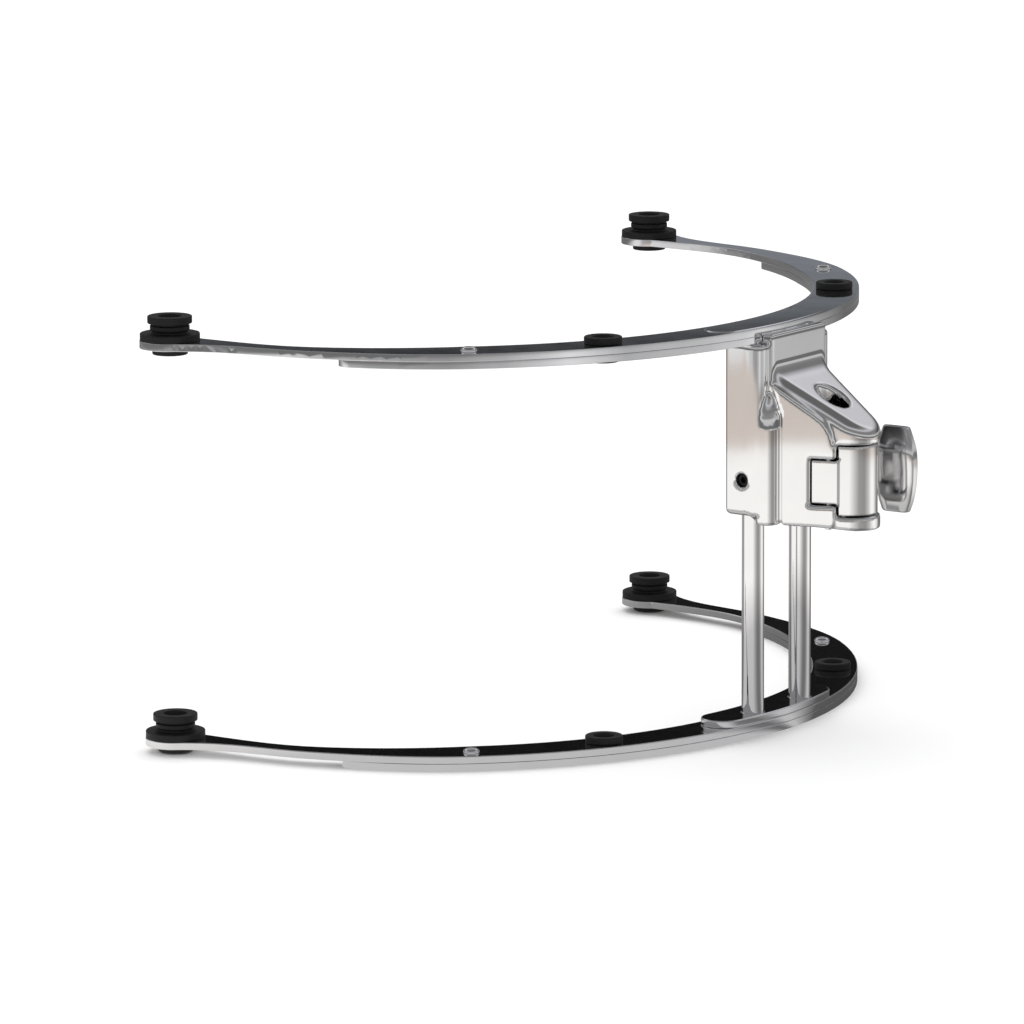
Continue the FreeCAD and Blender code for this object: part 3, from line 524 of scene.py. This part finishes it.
# ---- Studio: white paper on a table, a broad soft light above, and a tent with dark flags around it. Only
# the polished metal sees the tent and the toned table, so that each face of it takes one plain tone.

bpy.ops.mesh.primitive_plane_add(size=12.0, location=(0, 0, cad_box[0][2]))
floor = bpy.context.object
floor.name = "floor"
paper = Finish("white paper")
paper.set(
    Base_Color=paper.blend(paper.noise(paper.place, 3.0), (0.93, 0.93, 0.93, 1), (0.95, 0.95, 0.95, 1)),
    Roughness=0.6,
    Specular_IOR_Level=0.0,
)
floor.data.materials.append(paper.material)
floor.visible_glossy = False

bpy.ops.mesh.primitive_plane_add(size=12.0, location=(0, 0, cad_box[0][2] - 0.2 * mm))
table = bpy.context.object
table.name = "table_for_mirrors"
table.visible_camera = False
table.visible_diffuse = False
table.visible_shadow = False
tones = Finish("table tones")
reach = tones.add("ShaderNodeVectorMath", {"operation": "LENGTH"}, {0: tones.place}, 1)
across = tones.add("ShaderNodeSeparateXYZ", {}, {0: tones.place}, 0)
along = tones.add("ShaderNodeSeparateXYZ", {}, {0: tones.place}, 1)
bracket_x = 0.07
bearing = along.math("ARCTAN2", along, across - bracket_x) / (2 * math.pi) + 0.5
bracket_foot = (0.085, -0.02, 0.0)
from_bracket = tones.add(
    "ShaderNodeVectorMath", {"operation": "DISTANCE"}, {0: tones.place, 1: bracket_foot}, 1
)
toned_reach = 1.6
# Painted shadow: near the bracket's foot the glowing table is darker (0.55 rising to 1.1 by about 0.3 m).
# It stands in for the shaded floor around the object, and only the metal reflects it. Beyond about 0.7 m
# the table turns beige.
near_tone_with_painted_shadow = tones.add(
    "ShaderNodeValToRGB", {}, {0: from_bracket / toned_reach},
    stops=[
        (0.0, (0.55, 0.55, 0.55)), (0.13, (0.62, 0.61, 0.60)), (0.20, (1.1, 1.08, 1.05)),
        (0.420, (1.1, 1.08, 1.05)), (0.432, (0.70, 0.62, 0.565)), (0.55, (0.68, 0.61, 0.56)),
    ],
)


def turn_stop(degrees_from_camera, grey):
    """A tone of the table at an angle about the bracket, from the camera's side to its right."""
    camera_side = -55.3
    position = (degrees_from_camera + camera_side) / 360 + 0.5
    return position % 1.0, (grey, grey, grey)


near_turn = tones.add(
    "ShaderNodeValToRGB", {}, {0: bearing},
    stops=sorted([
        turn_stop(-124, 0.18), turn_stop(-112, 0.3), turn_stop(-92, 1.0), turn_stop(-5, 1.0),
        turn_stop(18, 0.6), turn_stop(35, 0.34), turn_stop(58, 0.3), turn_stop(76, 0.55),
        turn_stop(92, 1.0), turn_stop(104, 1.0), turn_stop(116, 0.7), turn_stop(130, 0.2),
        turn_stop(160, 0.16), turn_stop(200, 0.4),
    ]),
)
far_turn = tones.add(
    "ShaderNodeValToRGB", {}, {0: bearing},
    stops=sorted([
        turn_stop(-110, 0.3), turn_stop(-75, 0.85), turn_stop(-55, 0.85), turn_stop(-35, 0.4),
        turn_stop(-5, 0.35), turn_stop(15, 0.5), turn_stop(33, 0.85), turn_stop(50, 0.5),
        turn_stop(80, 0.6), turn_stop(99, 0.8), turn_stop(111, 0.55), turn_stop(147, 0.15),
        turn_stop(180, 0.2),
    ]),
)
near_glow = tones.add("ShaderNodeMix", {"data_type": "RGBA", "blend_type": "MULTIPLY"},
                      {"Factor": 1.0, 6: near_tone_with_painted_shadow, 7: near_turn}, 2)


def ramp_up(tree, value, low, high):
    """A smooth step from 0 at the low value to 1 at the high one."""
    limits = {"Value": value, "From Min": low, "From Max": high}
    return tree.add("ShaderNodeMapRange", {"interpolation_type": "SMOOTHSTEP"}, limits)


outward = ramp_up(tones, reach, 0.9, 0.95)
horizon = ramp_up(tones, reach, 1.1, 1.2)
glow = tones.blend(outward, near_glow, tones.blend(horizon, far_turn, (0.17, 0.17, 0.17, 1)))
tones.set(Base_Color=(0, 0, 0, 1), Specular_IOR_Level=0.0, Emission_Color=glow, Emission_Strength=1.0)
table.data.materials.append(tones.material)

sky = bpy.data.worlds.new("studio")
bpy.context.scene.world = sky
sky.use_nodes = True
tent = NodeTree(sky.node_tree)
sky.node_tree.nodes.clear()
way = tent.add("ShaderNodeTexCoord", output="Generated")
east = tent.add("ShaderNodeSeparateXYZ", {}, {0: way}, 0)
north = tent.add("ShaderNodeSeparateXYZ", {}, {0: way}, 1)
rise = tent.add("ShaderNodeSeparateXYZ", {}, {0: way}, 2)
flat = 1.0 - rise * rise
ahead = (north * 0.822 - east * 0.569) / flat.math("SQRT", flat)


def rise_stop(sine, grey, tint=(1, 1, 1)):
    """A tone of the tent at the sine of its height above the horizon."""
    return (sine + 0.2) / 1.2, tuple(grey * part for part in tint)


slate = (0.93, 1.0, 1.10)
lavender = (0.98, 0.98, 1.03)
ahead_tone = tent.add(
    "ShaderNodeValToRGB", {}, {0: (rise + 0.2) / 1.2},
    stops=[
        rise_stop(-0.2, 0.2), rise_stop(0.0, 0.5), rise_stop(0.09, 0.32), rise_stop(0.13, 0.24, slate),
        rise_stop(0.1512, 0.22, slate), rise_stop(0.1545, 0.02), rise_stop(0.225, 0.004),
        rise_stop(0.26, 0.12), rise_stop(0.40, 0.2), rise_stop(0.50, 0.5, lavender),
        rise_stop(0.57, 0.78, lavender), rise_stop(0.64, 0.72, lavender), rise_stop(0.72, 0.3),
        rise_stop(0.80, 0.14), rise_stop(1.0, 0.14),
    ],
)
aside_tone = tent.add(
    "ShaderNodeValToRGB", {}, {0: (rise + 0.2) / 1.2},
    stops=[
        rise_stop(-0.2, 0.16), rise_stop(-0.04, 0.2), rise_stop(0.0, 0.62), rise_stop(0.09, 0.6),
        rise_stop(0.14, 0.3), rise_stop(0.3, 0.22), rise_stop(0.42, 0.22), rise_stop(0.52, 0.45, lavender),
        rise_stop(0.60, 0.62, lavender), rise_stop(0.70, 0.3), rise_stop(0.80, 0.14), rise_stop(1.0, 0.14),
    ],
)
is_ahead = ramp_up(tent, ahead, 0.3, 0.75)
mirrored = tent.add(
    "ShaderNodeBackground", {}, {"Color": tent.blend(is_ahead, aside_tone, ahead_tone), "Strength": 1.0}
)
plain = tent.add("ShaderNodeBackground", {}, {"Color": (1, 1, 1, 1), "Strength": 0.8})
backdrop = tent.add("ShaderNodeBackground", {}, {"Color": (1, 1, 1, 1), "Strength": 1.1})
for_glossy = tent.add("ShaderNodeLightPath", output="Is Glossy Ray")
for_camera = tent.add("ShaderNodeLightPath", output="Is Camera Ray")
lit = tent.add("ShaderNodeMixShader", {}, {0: for_glossy, 1: plain, 2: mirrored})
seen = tent.add("ShaderNodeMixShader", {}, {0: for_camera, 1: lit, 2: backdrop})
end = tent.tree.nodes.new("ShaderNodeOutputWorld")
tent.feed(end.inputs[0], seen)

bpy.ops.object.light_add(type="SUN", location=(-0.5, 0.7, 1.6))
key = bpy.context.object
key.data.energy = 1.4
key.data.angle = math.radians(70)
key.visible_glossy = False
key.rotation_euler = key.location.to_track_quat("Z", "Y").to_euler()

bpy.context.scene.view_settings.view_transform = "Standard"

# ---- Camera: a long lens a little above the upper arc, looking past the arcs' open side at the bracket.

azimuth = math.radians(34.69)
elevation = math.radians(10.5)
roll = math.radians(-0.29)
distance = 2.785
aim = from_axis(30.3, 21.0, 69.75)
back = Vector(
    (math.sin(azimuth) * math.cos(elevation), -math.cos(azimuth) * math.cos(elevation), math.sin(elevation))
)
level_right = Vector((math.cos(azimuth), math.sin(azimuth), 0))
level_up = back.cross(level_right)
right = math.cos(roll) * level_right + math.sin(roll) * level_up
up = math.cos(roll) * level_up - math.sin(roll) * level_right
lens = bpy.data.cameras.new("camera")
lens.sensor_width = 36.0
lens.lens = 236.1
lens.clip_end = 50
camera = bpy.data.objects.new("camera", lens)
bpy.context.scene.collection.objects.link(camera)
turned_to = Matrix((right, up, back)).transposed().to_4x4()
camera.matrix_world = Matrix.Translation(aim + back * distance) @ turned_to
bpy.context.scene.camera = camera
